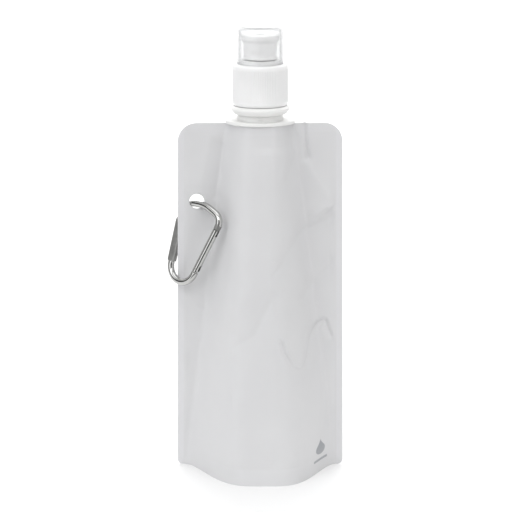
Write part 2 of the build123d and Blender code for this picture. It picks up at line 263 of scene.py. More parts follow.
# %% Moulded plastics
def make_moulded(name, dark, light, rough, depth):
    material, tree, shader = principled(name, Specular_IOR_Level=0.5, Subsurface_Weight=0.15)
    shader.inputs["Subsurface Radius"].default_value = (1.0, 1.0, 1.0)
    shader.inputs["Subsurface Scale"].default_value = 1.5 * MM
    add_colour_drift(tree, shader, dark, light, 45.0)
    add_rough_drift(tree, shader, rough, rough + 0.08, 150.0)
    add_relief(tree, shader, depth, 260.0, 1800.0, 0.4)
    return material


def make_clear():
    material, tree, shader = principled("clear_cover", Specular_IOR_Level=0.15)
    # Painted shade: the cover's colour runs from near white where it faces the camera to dark grey at its
    # grazing edges. This stands in for the refraction and reflections of clear plastic. Its opacity rises
    # towards the edges in the same way.
    edge = add_node(tree, "ShaderNodeLayerWeight", Blend=0.35)
    painted_edge_shades = ((0.92, 0.93, 0.94, 1), (0.22, 0.23, 0.24, 1))
    mix = add_node(tree, "ShaderNodeMix", data_type="RGBA")
    mix.inputs[6].default_value, mix.inputs[7].default_value = painted_edge_shades
    cover = add_node(tree, "ShaderNodeMapRange")
    cover.inputs["To Min"].default_value = 0.0
    cover.inputs["To Max"].default_value = 0.72
    link(tree, edge, "Facing", mix, "Factor")
    link(tree, edge, "Facing", cover, "Value")
    tree.links.new(mix.outputs[2], shader.inputs["Base Color"])
    link(tree, cover, "Result", shader, "Alpha")
    add_rough_drift(tree, shader, 0.05, 0.10, 120.0)
    add_relief(tree, shader, 0.02 * MM, 90.0, 700.0, 0.2)
    return material


# %% [markdown]
# The snap hook is bright nickel, so it mirrors the room: light panels as white streaks and the
# dark side of the studio as black ones. Its spine and its nose were pressed, which leaves them
# matt and grey.

# %% Metals
def make_metal(name, dark, light, low, high, depth):
    material, tree, shader = principled(name, Metallic=1.0)
    add_colour_drift(tree, shader, dark, light, 300.0)
    add_rough_drift(tree, shader, low, high, 420.0)
    add_relief(tree, shader, depth, 500.0, 2600.0, 0.4)
    return material


FILM_FINISH = make_film()
SPOUT_FINISH = make_moulded("spout_polyethylene", (0.80, 0.80, 0.79), (0.84, 0.84, 0.83), 0.38, 0.02 * MM)
CAP_FINISH = make_moulded("cap_polypropylene", (0.86, 0.86, 0.86), (0.90, 0.90, 0.90), 0.32, 0.02 * MM)
LINER_FINISH = make_moulded("liner_foam", (0.78, 0.78, 0.75), (0.84, 0.84, 0.81), 0.75, 0.06 * MM)
CLEAR_FINISH = make_clear()
INK_FINISH = make_moulded("grey_ink", (0.30, 0.31, 0.33), (0.37, 0.38, 0.40), 0.5, 0.01 * MM)
NICKEL = make_metal("bright_nickel", (0.46, 0.46, 0.45), (0.54, 0.54, 0.53), 0.06, 0.14, 0.006 * MM)
PRESSED = make_metal("pressed_nickel", (0.24, 0.24, 0.235), (0.32, 0.32, 0.31), 0.42, 0.55, 0.02 * MM)
STEEL = make_metal("spring_steel", (0.42, 0.42, 0.42), (0.52, 0.52, 0.52), 0.25, 0.35, 0.01 * MM)
print(len(bpy.data.materials), "materials")

# %% [markdown]
# The shape of a panel is one rule: how far the film stands out at a place across and a height
# up. It is a bell across the pouch, deep and wide at the foot, shallow and narrow at the spout.
# The real pouch was folded in a box before it was stood up, so its foot opened a little off
# centre, and the same is done here.

# %% The pouch's bell
def mix_heights(low, high, z):
    return low + (high - low) * z / POUCH_HEIGHT


def bell(x, z):
    shift = BASE_SHIFT * (1 - z / POUCH_HEIGHT) ** 2
    reach = mix_heights(BASE_REACH, TOP_REACH, z)
    room = np.where(x > shift, reach - shift, reach + shift)
    share = np.clip(np.abs(x - shift) / room, 0, 1)
    depth = mix_heights(BASE_DEPTH, TOP_DEPTH, z)
    return depth * 0.5 * (1 + np.cos(math.pi * share ** BULGE_POWER))


print("the foot stands out", round(float(bell(np.array(0.0), np.array(0.0))) / MM, 1), "mm")


# %% [markdown]
# Film keeps the memory of every fold. A fold is a line on the panel with a height, positive for
# a ridge and negative for a valley, and a width for each side of the line, so that it can fall
# away steeply on one side and gently on the other. `fold` measures the distance to the line for
# all points of the panel at once.

# %% Folds in the film
def fold(x, z, line, height, left, right, sharp=0.6, fade=6.0):
    points = np.array(line, float) * MM
    nearest = np.full(x.shape, 1e9)
    signed = np.zeros(x.shape)
    ends = np.ones(x.shape)
    last = len(points) - 2
    for index in range(len(points) - 1):
        start = points[index]
        run = points[index + 1] - start
        length = np.linalg.norm(run)
        way = run / length
        along = (x - start[0]) * way[0] + (z - start[1]) * way[1]
        across = (x - start[0]) * way[1] - (z - start[1]) * way[0]
        over = np.maximum(np.maximum(-along, along - length), 0)
        distance = np.hypot(across, over)
        closer = distance < nearest
        nearest = np.where(closer, distance, nearest)
        signed = np.where(closer, across, signed)
        beyond = np.zeros(x.shape)
        if index == 0:
            beyond = np.maximum(-along, 0)
        if index == last:
            beyond = np.maximum(beyond, along - length)
        ends = np.where(closer, np.exp(-(beyond / (fade * MM)) ** 2), ends)
    width = np.where(signed > 0, right, left) * MM
    soft = np.sqrt(nearest ** 2 + (sharp * MM) ** 2) - sharp * MM
    return height * MM * np.exp(-soft / width) * ends


# %% [markdown]
# The front has one long ridge from the spout to the foot that splits it into a bright half and
# a shaded half, a few flat facets where the film turns off the spout, two valleys that run in
# from the right-hand weld, and one thin S-shaped crease. Each is a line in this list: points,
# height, width on either side, sharpness.

# %% Front folds
FRONT_FOLDS = [
    ([(6.5, 194), (7.2, 164), (6.2, 145), (5.6, 102), (8.3, 91), (11.7, 81), (15, 72), (20, 61), (24, 46),
      (22, 25), (21.4, -4)], 1.9, 17, 10, 0.35),
    ([(-12.6, 46), (-12.8, 20), (-12.8, -4)], 0.8, 9, 7, 0.4),
    ([(-20.2, 181), (-22.4, 168), (-24.6, 154)], -1.3, 2.4, 3.4, 2.0),
    ([(-27, 186), (-30, 168), (-32, 158)], 0.7, 6, 3, 1.5),
    ([(12.8, 190), (13.2, 176), (11.5, 163)], 0.7, 4, 1.6, 0.3),
    ([(18.5, 190), (18.5, 176), (14, 164)], -1.1, 3.5, 3, 0.8),
    ([(22.8, 187), (24, 174), (31, 162), (38.5, 151)], 1.0, 2.4, 9, 0.4),
    ([(41.5, 143.5), (34, 139.5), (22.7, 135), (11.4, 121)], -1.7, 9, 2.2, 0.6),
    ([(42, 149), (36, 147.5), (31, 144)], 1.3, 2.2, 2.0, 0.4),
    ([(41.5, 145.5), (37, 143.8)], -1.0, 1.4, 1.4, 0.4),
    ([(41, 118), (31, 107), (23.3, 98)], -1.5, 8, 3.6, 0.9),
    ([(11.7, 78.4), (13.4, 73.2), (15.8, 68.7), (18.5, 63.6), (21.3, 61.6), (23.4, 62.2), (24.9, 65.4),
      (25.8, 70.5), (27, 75.7), (29, 79.8), (31.6, 82.4), (34, 84), (36.0, 83.6), (37.4, 79.5),
      (39.2, 75)], -1.5, 0.9, 1.6, 0.3),
    ([(-8.7, 79), (-3, 82), (0.5, 90), (7, 103)], -1.2, 3, 7, 0.9),
    ([(-42, 104), (-30, 96), (-22, 84), (-18, 66)], -0.9, 3.5, 7, 1.0),
    ([(-41, 96), (-34, 91), (-29, 88)], 0.35, 0.8, 1.2, 0.3),
    ([(-15.2, 82), (-15.4, 70)], 0.55, 0.9, 1.4, 0.3),
    ([(-15.3, 48.5), (-15.3, 42.5)], 0.45, 0.9, 1.4, 0.3),
    ([(-4, 108), (-14, 96), (-18, 84)], 0.5, 6, 4, 0.8),
    ([(-38, 62), (-27, 30), (-22, 12)], -0.7, 7, 7, 2.0),
    ([(2, 22), (8, 14), (4, 9)], -0.6, 3, 3, 1.0),
    ([(33, 62), (35.5, 38), (33, 20)], 0.9, 3, 4, 0.8),
    ([(-34, 132), (-20, 128), (-8, 134)], -0.5, 7, 7, 2.0),
]
REAR_FOLDS = [
    ([(-5, 192), (-6, 150), (-3, 100), (-9, 60), (-16, 20), (-17, -4)], 1.2, 11, 14, 0.8),
    ([(17, 190), (19, 172), (27, 150)], -0.8, 3, 4, 1.5),
    ([(-20, 186), (-24, 168), (-30, 150)], -0.7, 4, 3, 1.5),
    ([(40, 120), (26, 108), (14, 92)], -0.8, 6, 4, 1.0),
    ([(-40, 96), (-28, 84), (-12, 82)], -0.7, 4, 7, 1.0),
    ([(13, 48), (14, 20), (14, -4)], 0.8, 7, 9, 0.6),
    ([(30, 66), (22, 52), (10, 58), (2, 50)], -0.35, 0.8, 1.4, 0.3),
]
print(len(FRONT_FOLDS), "folds in front,", len(REAR_FOLDS), "behind")


# %% [markdown]
# Between the folds the film is never flat. A few long waves of seeded direction and length are
# added, which is enough for the reflections to wander as they do on real film.

# %% Soft waves
def waves(x, z, seed, size):
    dice = np.random.default_rng(seed)
    total = np.zeros(x.shape)
    for length in (11, 14, 18, 23, 29, 37, 47, 60):
        turn = dice.uniform(0, math.pi)
        phase = dice.uniform(0, 2 * math.pi)
        step = 2 * math.pi / (length * MM)
        total += length / 60 * np.sin((x * math.cos(turn) + z * 0.6 * math.sin(turn)) * step + phase)
    return size * MM * total / 3


# %% [markdown]
# The folds must leave some places alone: the film lies tight on the spout's boat, it is flat in
# its welds, and it is straight at the foot. A mask for each fades the relief to nothing there.
# The right-hand wing also leans a little, both panels together, as the real one does.

# %% Panel surface
def smooth_step(low, high, value):
    share = np.clip((value - low) / (high - low), 0, 1)
    return share * share * (3 - 2 * share)


def edge_half(z):
    return mix_heights(BASE_HALF, TOP_HALF, z)


def fold_relief(x, z, side):
    folds = FRONT_FOLDS if side < 0 else REAR_FOLDS
    relief = sum(fold(x, z, *entry) for entry in folds)
    relief = relief + waves(x, z, 7 if side < 0 else 11, 0.2)
    inside = smooth_step(0, 3.5 * MM, edge_half(z) - SIDE_WELD - np.abs(x))
    foot = 0.25 + 0.75 * smooth_step(FOOT_WELD * 0.3, FOOT_WELD * 1.6, z)
    hook = smooth_step(6 * MM, 12 * MM, np.hypot(x - EYELET.x, z - EYELET.z))
    hook = hook * (1 - np.exp(-((x + 40 * MM) / (7 * MM)) ** 2 - ((z - 112 * MM) / (12 * MM)) ** 2))
    boat = 1 - smooth_step(BOAT_LOW - 4 * MM, BOAT_LOW + 1 * MM, z) * (np.abs(x) < 17.5 * MM)
    relief = relief * inside * foot * hook
    return np.where(relief < 0, relief * boat, relief * (0.4 + 0.6 * boat))


def free_share(x, z):
    """0 where the two panels lie on each other, 1 where they stand well apart."""
    return np.minimum(bell(x, z), 5 * MM) / (5 * MM)


def middle_sway(x, z):
    """Sideways wave that both panels share where they lie on each other."""
    right = smooth_step(24 * MM, 40 * MM, x) * smooth_step(60 * MM, 175 * MM, z)
    top_left = smooth_step(24 * MM, 42 * MM, -x) * smooth_step(164 * MM, 190 * MM, z)
    pinch = fold(x, z, [(23.8, 198), (24.4, 185), (26, 175)], 2.0, 1.1, 2.6, 0.3, 3.0) * (x > 0)
    shared = fold_relief(x, z, -1) * (1 - free_share(x, z))
    return 1.2 * MM * right - 0.8 * MM * top_left + pinch * (1 - free_share(x, z)) - shared


def stand_out(x, z, side):
    """How far a panel's outer face stands out from the middle of the pouch."""
    plain = bell(x, z)
    relief = fold_relief(x, z, side) * free_share(x, z)
    return np.maximum(plain + relief, plain * 0.2)


belly = stand_out(np.array(0.0), np.array(POUCH_HEIGHT / 2), -1)
print("half way up the front stands out", round(float(belly) / MM, 1), "mm")


# %% [markdown]
# The welds show as bands with a pressed line along their inner edge. The line is a real groove
# in the mesh, a tenth of a millimetre deep, so it catches the light from any side.

# %% Weld lines
def weld_line(distance, depth, width):
    return -depth * MM * np.exp(-(distance / (width * MM)) ** 2)


def weld_relief(x, z):
    side = edge_half(z) - SIDE_WELD - np.abs(x)
    top = POUCH_HEIGHT - TOP_WELD - z
    off_spout = smooth_step(TOP_REACH, TOP_REACH + 4 * MM, np.abs(x))
    total = weld_line(side, 0.10, 0.45)
    total = total + weld_line(top, 0.10, 0.5) * off_spout
    total = total + weld_line(z - FOOT_WELD, 0.10, 0.6) * (np.abs(x) < 30 * MM)
    band = smooth_step(0, 0.6 * MM, -side) + smooth_step(0, 0.6 * MM, -top) * off_spout
    return total - 0.05 * MM * np.clip(band, 0, 1)


def weld_share(x, z):
    """1 in the welded bands, 0 on the free film; it brightens the film's colour there."""
    side = smooth_step(-0.3 * MM, 0.3 * MM, np.abs(x) - edge_half(z) + SIDE_WELD)
    top = smooth_step(-0.3 * MM, 0.3 * MM, z - POUCH_HEIGHT + TOP_WELD) * 0.35
    middle = 1 - smooth_step(14 * MM, 20 * MM, np.abs(x - 4 * MM))
    foot = smooth_step(-0.3 * MM, 0.3 * MM, FOOT_WELD - z) * middle * 0.35
    return np.clip(side + top + foot, 0, 1)


# %% [markdown]
# A panel starts as a flat grid. Its rows are spread up the pouch, packed closer in the rounded
# corners, and each row is scaled to the outline, which rounds the corners with no boolean.
# Then the surface rule pushes every point out. The eyelet is opened by removing the faces in
# its circle and pulling the cut edge on to it.

# %% Panel outline
COLUMNS = 150
ROWS = 268
CORNER_ROWS = 16


def row_place(row):
    """Height and inset from the side edge of a row of the grid."""
    if row < CORNER_ROWS / 2:
        turn = row / (CORNER_ROWS / 2) * math.pi / 2
        return BOTTOM_CORNER * (1 - math.cos(turn)), BOTTOM_CORNER * (1 - math.sin(turn))
    if row > ROWS - CORNER_ROWS:
        turn = (row - ROWS + CORNER_ROWS) / CORNER_ROWS * math.pi / 2
        start = POUCH_HEIGHT - TOP_CORNER
        return start + TOP_CORNER * math.sin(turn), TOP_CORNER * (1 - math.cos(turn))
    share = (row - CORNER_ROWS / 2) / (ROWS - CORNER_ROWS * 1.5)
    return BOTTOM_CORNER + share * (POUCH_HEIGHT - TOP_CORNER - BOTTOM_CORNER), 0.0


print(ROWS, "rows of", COLUMNS, "faces, up to", round(row_place(ROWS)[0] / MM, 1), "mm")


def open_eyelet(bm):
    middle = Vector((EYELET.x, 0, EYELET.z))
    inside = []
    for face in bm.faces:
        spot = face.calc_center_median()
        if math.hypot(spot.x - middle.x, spot.z - middle.z) < EYELET_RADIUS:
            inside.append(face)
    bmesh.ops.delete(bm, geom=inside, context="FACES")
    for vert in bm.verts:
        away = Vector((vert.co.x - middle.x, 0, vert.co.z - middle.z))
        if vert.is_boundary and away.length < EYELET_RADIUS * 1.4:
            away.normalize()
            vert.co.x = middle.x + away.x * EYELET_RADIUS
            vert.co.z = middle.z + away.z * EYELET_RADIUS


# %% [markdown]
# Both panels come from one function, mirrored. They share their outline and the eyelet, but each
# has its own creases, and the front has the long ridge. Film has two sides and a thickness, so a
# solidify modifier gives each sheet its wall instead of a second hand-made skin.

# %% Panels
def film_panel(name, side, node):
    bm = bmesh.new()
    bmesh.ops.create_grid(bm, x_segments=COLUMNS, y_segments=ROWS, size=1.0)
    bm.verts.ensure_lookup_table()
    across = np.array([vert.co.x for vert in bm.verts])
    rows = np.array([round((vert.co.y + 1) / 2 * ROWS) for vert in bm.verts])
    places = [row_place(row) for row in range(ROWS + 1)]
    z = np.array([places[row][0] for row in rows])
    x = across * (edge_half(z) - np.array([places[row][1] for row in rows]))
    y = side * (FILM + stand_out(x, z, side) + weld_relief(x, z)) + middle_sway(x, z)
    weld = bm.verts.layers.float.new("weld")
    for vert, px, py, pz, pressed in zip(bm.verts, x, y, z, weld_share(x, z)):
        vert.co = (px, py, pz)
        vert[weld] = pressed
    open_eyelet(bm)
    if side > 0:
        bmesh.ops.reverse_faces(bm, faces=bm.faces)
    piece = finish_piece(name, bm, FILM_FINISH, "pouch", [node], corner=60)
    wall = piece.modifiers.new("wall", "SOLIDIFY")
    wall.thickness = FILM * 0.8
    wall.offset = -1


film_panel("front_film", -1, "front_panel")
film_panel("rear_film", 1, "rear_panel")


# %% [markdown]
# The foot is a third sheet, folded between the panels. Opened, it is an arch: low in the
# middle, climbing towards the side welds, with a faint fold down its middle line. Its two long
# edges turn down and are welded to the panels, which is the rim that the bottle stands on.

# %% Gusset
GUSSET_LOW = 6.0 * MM
GUSSET_CROWN = 2.2 * MM
GUSSET_FLAT = 0.78


def gusset_sheet():
    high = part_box("bottom_gusset")[1]
    half = high[0]
    rise = high[2] - GUSSET_LOW
    bm = bmesh.new()
    bmesh.ops.create_grid(bm, x_segments=72, y_segments=56, size=1.0)
    for vert in bm.verts:
        x = vert.co.x * half
        share = abs(vert.co.y)
        climb = (1 - math.sqrt(1 - (x / half) ** 2 * 0.6)) / (1 - math.sqrt(0.4))
        arch = GUSSET_LOW + rise * climb
        if share <= GUSSET_FLAT:
            z = arch + GUSSET_CROWN * (1 - share / GUSSET_FLAT) ** 1.5
            out = share / GUSSET_FLAT
            room = float(bell(np.array(x), np.array(max(z, arch * 0.5)))) - 0.9 * MM
        else:
            z = arch * (1 - (share - GUSSET_FLAT) / (1 - GUSSET_FLAT))
            out = 1.0
            room = float(bell(np.array(x), np.array(z))) - 0.6 * MM
        width = max(room, 0.1 * MM)
        vert.co = (x, math.copysign(width * out, vert.co.y) if share > 0 else 0, z)
    piece = finish_piece("gusset_film", bm, FILM_FINISH, "pouch", ["bottom_gusset"], corner=75)
    wall = piece.modifiers.new("wall", "SOLIDIFY")
    wall.thickness = FILM
    wall.offset = 0


gusset_sheet()


# %% [markdown]
# Turned parts are drawn as half an outline and spun round the bottle's axis. The corners of the
# outline are rounded first, with a bevel on its points, so every edge of the moulding has the
# small radius that a mould leaves. A normal recalculation at the end turns all faces outwards.

# %% Turned parts
def turned(outline, segments, rounds=()):
    """Mesh spun round Z from (radius, height) points in millimetres; rounds maps point to radius."""
    bm = bmesh.new()
    verts = [bm.verts.new((radius * MM, 0, height * MM)) for radius, height in outline]
    for first, second in zip(verts, verts[1:] + verts[:1]):
        bm.edges.new((first, second))
    for index, radius in rounds:
        bmesh.ops.bevel(bm, geom=[verts[index]], offset=radius * MM, offset_type="OFFSET",
                        segments=5, profile=0.5, affect="VERTICES", material=-1)
    bmesh.ops.spin(bm, geom=bm.verts[:] + bm.edges[:], cent=(0, 0, 0), axis=(0, 0, 1),
                   angle=2 * math.pi, steps=segments, use_merge=True)
    bmesh.ops.remove_doubles(bm, verts=bm.verts, dist=0.001 * MM)
    bmesh.ops.recalc_face_normals(bm, faces=bm.faces)
    return bm


# %% [markdown]
# The neck, the support ring under the cap and the thread belong to one moulding. The outline is
# spun, and the thread is made by the same spin with a rise per step: a small wedge travels
# round and up at once, so it is a real helix that runs out at both ends.

# %% Spout
NECK_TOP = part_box("spout_fitment")[1][2] / MM
FLANGE_LOW = NECK_TOP - 28.8
NECK = 12.3
BORE = 10.5


def helix(radius, crest, low, turns, pitch, root_width, tip_width, segments=96, inward=False):
    bm = bmesh.new()
    root = radius + (0.2 if inward else -0.2)
    wedge = [(root, -root_width / 2), (crest, -tip_width / 2),
             (crest, tip_width / 2), (root, root_width / 2)]
    verts = [bm.verts.new((r * MM, 0, (low + h) * MM)) for r, h in wedge]
    face = bm.faces.new(verts)
    steps = round(segments * turns)
    bmesh.ops.spin(bm, geom=[face] + face.edges[:] + face.verts[:], cent=(0, 0, 0), axis=(0, 0, 1),
                   angle=2 * math.pi * turns, steps=steps, dvec=(0, 0, pitch * turns / steps * MM))
    middle = (root + crest) / 2
    for vert in bm.verts:
        share = (vert.co.z / MM - low) / (pitch * turns)
        run_out = min(1, max(0.05, min(share, 1 - share) * turns * 6))
        radius_now = math.hypot(vert.co.x, vert.co.y) / MM
        if abs(radius_now - crest) < abs(radius_now - root) and run_out < 1:
            scale = (root + (crest - root) * run_out) / radius_now
            vert.co.x *= scale
            vert.co.y *= scale
    bmesh.ops.recalc_face_normals(bm, faces=bm.faces)
    return bm


def merge(bm, other):
    mesh = bpy.data.meshes.new("part")
    other.to_mesh(mesh)
    other.free()
    bm.from_mesh(mesh)
    bpy.data.meshes.remove(mesh)


def ring_loop(bm, count, shape, height):
    """Closed loop of edges: a circle bent to shape(angle) at one height, in millimetres."""
    made = bmesh.ops.create_circle(bm, segments=count, radius=1.0, cap_ends=False)
    for vert in made["verts"]:
        x, y = shape(math.atan2(vert.co.y, vert.co.x))
        vert.co = (x * MM, y * MM, height * MM)
    return list({edge for vert in made["verts"] for edge in vert.link_edges})


def stack_loops(loops_at, count, close):
    """Skin over a stack of loops; the first joins the last when close is true."""
    bm = bmesh.new()
    loops = [ring_loop(bm, count, shape, height) for shape, height in loops_at]
    pairs = list(zip(loops, loops[1:]))
    if close:
        pairs.append((loops[-1], loops[0]))
    for lower, upper in pairs:
        bmesh.ops.bridge_loops(bm, edges=lower + upper)
    if not close:
        for loop in (loops[0], loops[-1]):
            bmesh.ops.edgeloop_fill(bm, edges=loop)
    bmesh.ops.recalc_face_normals(bm, faces=bm.faces)
    return bm


def lens(half_length, half_depth, flat):
    """Outline of the flange: two arcs that meet in two short flats."""
    rise = half_depth - flat / 2
    radius = (half_length ** 2 + rise ** 2) / (2 * rise)
    centre = half_depth - radius

    def shape(angle):
        side = 1 if math.sin(angle) >= 0 else -1
        x = half_length * math.cos(angle)
        y = centre + math.sqrt(max(radius ** 2 - x * x, 0))
        if abs(math.cos(angle)) > 0.999:
            return x, 0
        return x, side * y
    return shape


def circle(radius):
    return lambda angle: (radius * math.cos(angle), radius * math.sin(angle))


def boat_shape(inset):
    """Outline of the weld boat: the pouch's own bell, a little smaller."""
    def shape(angle):
        half = 17.4 - inset
        x = half * math.cos(angle)
        depth = float(bell(np.array(x * MM), np.array(POUCH_HEIGHT - 4 * MM))) / MM - 0.2 - inset
        side = 1 if math.sin(angle) >= 0 else -1
        return x, 0 if abs(math.cos(angle)) > 0.9999 else side * max(depth, 0.2)
    return shape


# %% [markdown]
# Now the parts of the moulding are put together in one mesh: the turned neck with its ring, the
# helix of the thread, the flange as a stack of loops, and the boat with its welding ribs. They
# overlap inside the plastic, where nobody sees it, which is simpler than joining their skins.

# %% Spout mesh
def spout():
    flange_top = FLANGE_LOW + 1.8
    ring_low = flange_top + 3.5
    outline = [
        (BORE, BOAT_LOW / MM), (BORE, NECK_TOP), (NECK, NECK_TOP),
        (NECK, ring_low + 4.3), (14.7, ring_low + 4.3), (16.0, ring_low + 3.1), (16.0, ring_low + 2.3),
        (14.2, ring_low), (NECK, ring_low), (NECK, flange_top - 1.0), (NECK, BOAT_LOW / MM),
    ]
    bm = turned(outline, 192, [(1, 0.3), (2, 0.4), (4, 0.3), (5, 0.25), (6, 0.25), (7, 0.3)])
    merge(bm, helix(NECK, 13.6, NECK_TOP - 12.5, 1.5, 4.2, 2.2, 1.0))
    plate = lens(18.7, 15.5, 5.0)
    slim = lens(18.4, 15.2, 4.6)
    merge(bm, stack_loops([
        (circle(NECK - 0.2), FLANGE_LOW), (slim, FLANGE_LOW), (plate, FLANGE_LOW + 0.3),
        (plate, flange_top - 0.45), (slim, flange_top), (circle(NECK - 0.2), flange_top)], 192, True))
    loops = [(circle(NECK - 0.2), FLANGE_LOW - 0.1)]
    low = BOAT_LOW / MM
    for rib in range(5):
        foot = FLANGE_LOW - 0.1 - rib * 2.3
        loops += [(boat_shape(0), foot), (boat_shape(0), foot - 1.5), (boat_shape(0.35), foot - 1.7),
                  (boat_shape(0.35), foot - 2.1)]
    loops += [(boat_shape(0), low + 0.02), (circle(NECK - 0.2), low)]
    merge(bm, stack_loops(loops, 192, True))
    finish_piece("spout", bm, SPOUT_FINISH, "pouch", ["spout_fitment"], corner=35)


spout()

# %% [markdown]
# The screw cap's collar has a hundred fine ribs between two plain hoops. The outline is spun
# with four steps to a rib, and the points that fall in a groove are pulled in to the axis.
# Under the deck the cap has its own thread, and in the tower a small plug stands on three
# spokes: the mouthpiece's hole slides on to it, which is what shuts the bottle. The sealing
# ring under the deck is punched from foam sheet.

# %% Cap mesh and liner
RIB_COUNT = 100
RIB_DEPTH = 0.26
cap_low, cap_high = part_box("screw_cap")
COLLAR_LOW = cap_low[2] / MM
COLLAR_HIGH = NECK_TOP + 3.0
COLLAR = cap_high[0] / MM
PLINTH_TOP = COLLAR_HIGH + 2.1
TOWER_TOP = cap_high[2] / MM - 4.6


def pull_grooves(bm, low, high):
    for vert in bm.verts:
        radius = math.hypot(vert.co.x, vert.co.y)
        if low * MM < vert.co.z < high * MM and radius > (COLLAR - 0.1) * MM:
            turn = math.atan2(vert.co.y, vert.co.x) / (2 * math.pi) * RIB_COUNT * 4
            if round(turn) % 4 in (0, 3):
                scale = (COLLAR - RIB_DEPTH) / COLLAR
                vert.co.x *= scale
                vert.co.y *= scale


def solid_bar(bm, size, place, turn=0.0, bevel=0.2):
    made = bmesh.ops.create_cube(bm, size=1.0)
    verts = made["verts"]
    bmesh.ops.scale(bm, verts=verts, vec=[side * MM for side in size])
    edges = list({edge for vert in verts for edge in vert.link_edges})
    made = bmesh.ops.bevel(bm, geom=edges, offset=bevel * MM, segments=2, profile=0.5,
                           affect="EDGES", material=-1)
    verts = list({vert for face in made["faces"] for vert in face.verts})
    bmesh.ops.translate(bm, verts=verts, vec=[value * MM for value in place])
    bmesh.ops.rotate(bm, verts=verts, cent=(0, 0, 0), matrix=Matrix.Rotation(turn, 3, "Z"))
    return verts


def ribbed_collar():
    low, high, wide = COLLAR_LOW, COLLAR_HIGH, COLLAR
    deck = high - 1.5
    outline = [
        (13.9, low), (wide - 0.7, low), (wide, low + 1.4), (wide, low + 2.3), (wide, low + 2.6),
        (wide, high - 3.0), (wide, high - 2.7), (wide, high), (11.3, high), (11.3, PLINTH_TOP),
        (7.3, PLINTH_TOP), (7.3, TOWER_TOP - 1.6), (7.65, TOWER_TOP - 1.25), (7.65, TOWER_TOP - 0.75),
        (7.3, TOWER_TOP - 0.4), (7.3, TOWER_TOP), (5.6, TOWER_TOP), (5.6, deck), (13.9, deck),
    ]
    rounds = [(1, 0.3), (2, 0.4), (7, 1.4), (9, 0.35), (12, 0.15), (13, 0.15), (15, 0.3)]
    bm = turned(outline, RIB_COUNT * 4, rounds)
    pull_grooves(bm, low + 2.45, high - 2.85)
    merge(bm, helix(13.9, 12.85, NECK_TOP - 14.1, 1.4, 4.2, 2.2, 1.0, inward=True))
    top = cap_high[2] / MM
    merge(bm, turned([(0, high + 5.5), (2.5, high + 5.5), (2.5, top), (0, top)], 64, [(2, 0.4)]))
    for index in range(3):
        solid_bar(bm, (4.6, 1.4, 2.0), (4.1, 0, high + 6.5), index * 2 * math.pi / 3)
    finish_piece("ribbed_cap", bm, CAP_FINISH, "cap", ["screw_cap"], corner=50)


def punched_liner():
    low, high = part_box("cap_liner")
    bottom, top = low[2] / MM, high[2] / MM
    outline = [(8.5, bottom), (12.9, bottom), (12.9, top), (8.5, top)]
    bm = turned(outline, 128, [(0, 0.12), (1, 0.12), (2, 0.12), (3, 0.12)])
    finish_piece("foam_liner", bm, LINER_FINISH, "liner", ["cap_liner"])


ribbed_collar()
punched_liner()

# %% [markdown]
# The mouthpiece is a sleeve with a rolled lip that the teeth can grip. A shallow groove runs round
# it just above its foot, so the foot stands out a little and can be pushed home with a thumb.

# %% Mouthpiece
def push_pull():
    low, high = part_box("mouthpiece")
    bottom, top = low[2] / MM, high[2] / MM
    outline = [
        (7.38, bottom), (9.15, bottom), (9.15, bottom + 1.0), (8.9, bottom + 1.5),
        (8.9, bottom + 4.0), (9.15, bottom + 4.5), (9.15, top - 4.2), (10.4, top - 2.9), (10.4, top),
        (2.9, top), (2.56, top - 0.35), (2.56, top - 2.6), (7.73, top - 2.6), (7.73, bottom + 1.1),
        (7.38, bottom + 1.1),
    ]
    rounds = [(1, 0.25), (2, 0.25), (3, 0.2), (6, 0.6), (7, 0.6), (8, 0.75), (9, 0.15)]
    bm = turned(outline, 160, rounds)
    finish_piece("push_pull", bm, CAP_FINISH, "mouthpiece", ["mouthpiece"])


push_pull()

# %% [markdown]
# The dust cap is thin clear polystyrene with a slight draft, so that it comes off its mould.
# A low bead runs round its foot, and the gate of the mould left a flat spot on its crown.

# %% Dust cap
def clear_cover():
    low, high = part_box("dust_cap")
    bottom, top = low[2] / MM, high[2] / MM
    wide = high[0] / MM
    outline = [
        (0, top - 0.95), (wide - 1.15, top - 0.95), (wide - 0.95, bottom), (wide, bottom),
        (wide, bottom + 0.9), (wide - 0.06, bottom + 1.1), (wide - 0.2, top), (5.0, top),
        (4.8, top - 0.12), (0, top - 0.12),
    ]
    rounds = [(1, 0.6), (3, 0.2), (6, 1.0)]
    bm = turned(outline, 160, rounds)
    finish_piece("clear_cover", bm, CLEAR_FINISH, "dust_cap", ["dust_cap"])


clear_cover()

# %% [markdown]
# The hook is one bent rod. Its centre line is made of straights and arcs: a corner is rounded by
# stepping round the arc that fits into it. The line is drawn flat and then laid in the plane in
# which the hook hangs.

# %% Centre line of the hook
WIRE = 1.9
CROWN = EYELET + Vector((-6.47, 5.63, 0.83)) * MM


def hook_plane():
    yaw, lean, tilt = (math.radians(value) for value in (38.45, 5.93, 12.36))
    across = Vector((math.cos(yaw), -math.sin(yaw), 0))
    forward = Vector((-math.sin(yaw), -math.cos(yaw), 0))
    down = forward * math.sin(tilt) + Vector((0, 0, -math.cos(tilt)))
    x_way = across * math.cos(lean) + down * math.sin(lean)
    spine_way = down * math.cos(lean) - across * math.sin(lean)
    normal = spine_way.cross(x_way)
    return Matrix((x_way, normal.cross(x_way), normal)).transposed().to_4x4()


